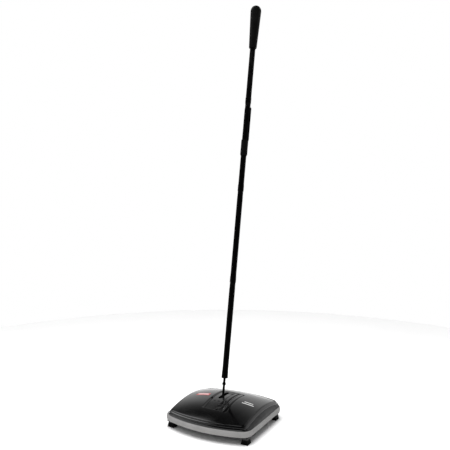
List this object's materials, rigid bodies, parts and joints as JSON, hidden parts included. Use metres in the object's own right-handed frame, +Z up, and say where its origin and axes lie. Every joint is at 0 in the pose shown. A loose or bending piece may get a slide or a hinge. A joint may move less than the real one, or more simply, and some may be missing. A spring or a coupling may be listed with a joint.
{
  "type": "carpet sweeper",
  "caption": "Push-type mechanical carpet sweeper: low domed head with a grey bumper, floor-driven brush roll, drop-open dust pans and a long sectional handle on a centre pivot.",
  "frame": {"origin": "on the floor, under the middle of the whole object's bounding box with the handle leaning back", "axes": "+Z up; -Y is the front of the head, +Y the user's side that the handle leans towards; +X to the right seen from the front"},
  "size_m": [0.249, 0.3388, 1.1679],
  "materials": {
    "cover_gloss": "polished injection-moulded black with fine handling marks",
    "panel_satin": "fine moulded grain, satin black",
    "bumper": "soft grey moulded bumper, matt and slightly scuffed",
    "chassis": "textured black moulding",
    "pan_plastic": "satin black moulding with dust in the corners",
    "bare_steel": "bright zinc-plated wire and sheet",
    "roll_core": "dark grey moulded core",
    "bristle": "bundled black nylon bristles",
    "blade_rubber": "black rubber, matt",
    "tyre": "black rubber tread with fine dust",
    "hub_plastic": "moulded dark hub",
    "handle_rod": "black coated steel rod",
    "fittings": "satin black moulding",
    "tube_paint": "semi-gloss black powder coat on steel tube",
    "grip": "soft black grip with fine grain"
  },
  "bodies": {
    "base": {"top_cover": "cover_gloss", "center_panel": "panel_satin", "bumper": "bumper", "chassis": "chassis", "brush_hood": "chassis", "button_spring": "bare_steel", "front_pan_rod": "bare_steel", "front_pan_spring": "bare_steel", "rear_pan_rod": "bare_steel", "rear_pan_spring": "bare_steel", "left_shaft_bush": "bare_steel", "right_shaft_bush": "bare_steel", "left_pivot_bracket": "bare_steel", "right_pivot_bracket": "bare_steel", "pivot_pin": "bare_steel", "front_left_wheel_axle": "bare_steel", "front_left_corner_brush": "bristle", "front_left_cover_screw": "bare_steel", "front_right_wheel_axle": "bare_steel", "front_right_corner_brush": "bristle", "front_right_cover_screw": "bare_steel", "rear_left_wheel_axle": "bare_steel", "rear_left_corner_brush": "bristle", "rear_left_cover_screw": "bare_steel", "rear_right_wheel_axle": "bare_steel", "rear_right_corner_brush": "bristle", "rear_right_cover_screw": "bare_steel"},
    "handle": {"handle_rod": "handle_rod", "rod_collar": "handle_rod", "tube_plug": "fittings", "handle_tube_1": "tube_paint", "handle_tube_2": "tube_paint", "handle_tube_3": "tube_paint", "handle_tube_4": "tube_paint", "hand_sleeve": "fittings", "hand_grip": "grip"},
    "brush_roll": {"brush_core": "roll_core", "brush_shaft": "bare_steel", "bristle_row_a": "bristle", "bristle_row_b": "bristle", "rubber_blade_a": "blade_rubber", "rubber_blade_b": "blade_rubber", "left_drive_drum": "blade_rubber", "right_drive_drum": "blade_rubber"},
    "front_pan": {"front_dust_pan": "pan_plastic"},
    "rear_pan": {"rear_dust_pan": "pan_plastic"},
    "button": {"release_button": "panel_satin"},
    "front_left_wheel": {"front_left_tyre": "tyre", "front_left_wheel_hub": "hub_plastic"},
    "front_right_wheel": {"front_right_tyre": "tyre", "front_right_wheel_hub": "hub_plastic"},
    "rear_left_wheel": {"rear_left_tyre": "tyre", "rear_left_wheel_hub": "hub_plastic"},
    "rear_right_wheel": {"rear_right_tyre": "tyre", "rear_right_wheel_hub": "hub_plastic"}
  },
  "joints": [
    {"name": "handle_tilt", "type": "hinge", "parent": "base", "child": "handle", "pos_m": [-0.0034, -0.04614, 0.062], "axis": [1, 0, 0], "range_deg": [-39.6, 60.4]},
    {"name": "roll_spin", "type": "hinge", "parent": "base", "child": "brush_roll", "pos_m": [0, -0.04314, 0.026], "axis": [1, 0, 0], "continuous": true},
    {"name": "front_left_wheel_spin", "type": "hinge", "parent": "base", "child": "front_left_wheel", "pos_m": [-0.0996, -0.07814, 0.026], "axis": [1, 0, 0], "continuous": true},
    {"name": "front_right_wheel_spin", "type": "hinge", "parent": "base", "child": "front_right_wheel", "pos_m": [0.0996, -0.07814, 0.026], "axis": [1, 0, 0], "continuous": true},
    {"name": "rear_left_wheel_spin", "type": "hinge", "parent": "base", "child": "rear_left_wheel", "pos_m": [-0.0996, -0.00814, 0.026], "axis": [1, 0, 0], "continuous": true},
    {"name": "rear_right_wheel_spin", "type": "hinge", "parent": "base", "child": "rear_right_wheel", "pos_m": [0.0996, -0.00814, 0.026], "axis": [1, 0, 0], "continuous": true},
    {"name": "front_pan_open", "type": "hinge", "parent": "base", "child": "front_pan", "pos_m": [0, -0.13814, 0.0186], "axis": [-1, 0, 0], "range_deg": [0, 50], "stiffness_Nm_per_rad": 0.05, "springref_deg": -57.3},
    {"name": "rear_pan_open", "type": "hinge", "parent": "base", "child": "rear_pan", "pos_m": [0, 0.05186, 0.0186], "axis": [1, 0, 0], "range_deg": [0, 50], "stiffness_Nm_per_rad": 0.05, "springref_deg": -57.3},
    {"name": "button_press", "type": "slide", "parent": "base", "child": "button", "axis": [0, 0, -1], "range_m": [0, 0.005], "stiffness_N_per_m": 150, "deforming": ["button_spring"]}
  ],
  "couplings": [
    {"joint": "front_left_wheel_spin", "follows": "roll_spin", "ratio": -0.33461},
    {"joint": "front_right_wheel_spin", "follows": "roll_spin", "ratio": -0.33461},
    {"joint": "rear_left_wheel_spin", "follows": "roll_spin", "ratio": -0.33461},
    {"joint": "rear_right_wheel_spin", "follows": "roll_spin", "ratio": -0.33461},
    {"joint": "rear_pan_open", "follows": "front_pan_open", "ratio": 1},
    {"joint": "button_press", "follows": "front_pan_open", "m_per_rad": 0.0057}
  ]
}
